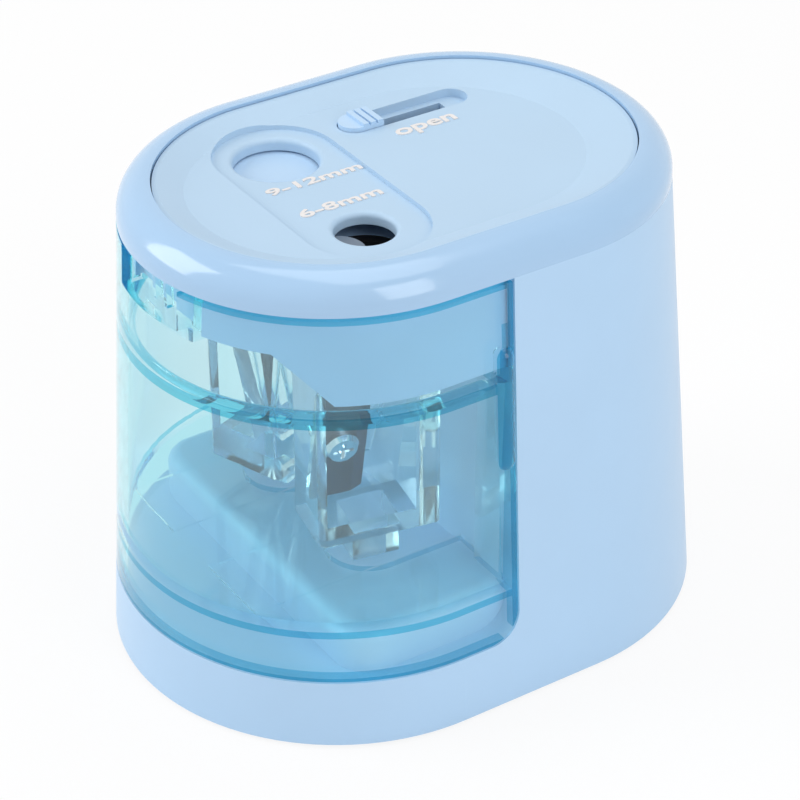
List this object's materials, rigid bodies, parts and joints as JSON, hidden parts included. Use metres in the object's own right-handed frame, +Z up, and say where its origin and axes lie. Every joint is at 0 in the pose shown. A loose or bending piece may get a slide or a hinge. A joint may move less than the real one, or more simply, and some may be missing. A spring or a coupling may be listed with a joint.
{
  "type": "pencil sharpener",
  "caption": "Battery-run automatic pencil sharpener with a small and a large pencil hole, a sliding shutter and a clear pull-out shavings bin.",
  "frame": {"origin": "on the surface it stands on, under the middle of the whole object", "axes": "+Z up, -Y to the front where the shavings bin is, +Y to the rear, +X to the side of the small pencil hole"},
  "size_m": [0.072, 0.0969, 0.0784],
  "materials": {
    "shell_blue": "moulded, light sky blue, satin to gloss",
    "rim_blue": "moulded, light sky blue, polished",
    "deck_blue": "moulded, light blue, fine matte",
    "slider_blue": "moulded, light blue",
    "bar_grey": "moulded, mid grey",
    "bin_clear": "moulded, clear with a teal tint",
    "housing_blue": "moulded, light blue",
    "cutter_clear": "moulded, clear",
    "blade_steel": "ground, dark steel",
    "bright_screw": "bright plated",
    "plain_steel": "plain steel",
    "gear_white": "moulded, natural white",
    "pinion_brass": "turned brass",
    "dark_plastic": "moulded, black",
    "cell_wrap": "plain dark foil wrap",
    "foot_rubber": "moulded rubber"
  },
  "bodies": {
    "housing": {"body_shell": "shell_blue", "base_plate": "shell_blue", "base_screws": "plain_steel", "rubber_feet": "foot_rubber", "battery_cells": "cell_wrap", "contact_leaves": "plain_steel", "contact_plates": "plain_steel", "top_rim": "rim_blue", "deck_panel": "deck_blue", "start_switch": "dark_plastic", "gear_housing": "housing_blue", "housing_screws": "plain_steel", "gear_cover": "housing_blue", "cover_screws": "plain_steel", "idler_axle": "plain_steel", "compound_axle": "plain_steel", "motor_can": "plain_steel", "motor_end_cap": "dark_plastic", "motor_terminals": "pinion_brass", "motor_screws": "plain_steel"},
    "bin": {"shavings_bin": "bin_clear"},
    "selector": {"selector_knob": "slider_blue", "shutter_plate": "slider_blue"},
    "start": {"start_bar": "bar_grey"},
    "large_cutter": {"large_drive_gear": "dark_plastic", "large_cutter_block": "cutter_clear", "large_blade": "blade_steel", "large_blade_screw": "bright_screw"},
    "small_cutter": {"small_drive_gear": "dark_plastic", "small_cutter_block": "cutter_clear", "small_blade": "blade_steel", "small_blade_screw": "bright_screw"},
    "idler": {"idler_gear": "gear_white"},
    "compound": {"compound_gear": "gear_white"},
    "motor_rotor": {"motor_shaft": "plain_steel", "motor_pinion": "pinion_brass"},
    "door": {"battery_door": "shell_blue"}
  },
  "joints": [
    {"name": "bin_slide", "type": "slide", "parent": "housing", "child": "bin", "axis": [0, -1, 0], "range_m": [0, 0.055]},
    {"name": "selector_slide", "type": "slide", "parent": "housing", "child": "selector", "axis": [0, 1, 0], "range_m": [0, 0.0143]},
    {"name": "start_push", "type": "slide", "parent": "housing", "child": "start", "axis": [0, -1, 0], "range_m": [0, 0.0042], "stiffness_N_per_m": 60},
    {"name": "large_cutter_spin", "type": "hinge", "parent": "housing", "child": "large_cutter", "pos_m": [-0.0123, -0.015, 0.062], "axis": [0, 0, 1], "continuous": true},
    {"name": "small_cutter_spin", "type": "hinge", "parent": "housing", "child": "small_cutter", "pos_m": [0.0123, -0.015, 0.062], "axis": [0, 0, 1], "continuous": true},
    {"name": "idler_spin", "type": "hinge", "parent": "housing", "child": "idler", "pos_m": [0, 0.00077, 0.062], "axis": [0, 0, 1], "continuous": true},
    {"name": "compound_spin", "type": "hinge", "parent": "housing", "child": "compound", "pos_m": [0, 0.01427, 0.062], "axis": [0, 0, 1], "continuous": true},
    {"name": "motor_spin", "type": "hinge", "parent": "housing", "child": "motor_rotor", "pos_m": [0, 0.02727, 0.062], "axis": [0, 0, 1], "continuous": true},
    {"name": "door_off", "type": "slide", "parent": "housing", "child": "door", "axis": [0, 0, -1], "range_m": [0, 0.025]}
  ],
  "couplings": [
    {"joint": "small_cutter_spin", "follows": "large_cutter_spin", "ratio": 1},
    {"joint": "idler_spin", "follows": "large_cutter_spin", "ratio": -1},
    {"joint": "compound_spin", "follows": "large_cutter_spin", "ratio": 2.8571},
    {"joint": "motor_spin", "follows": "large_cutter_spin", "ratio": -7.7551}
  ]
}
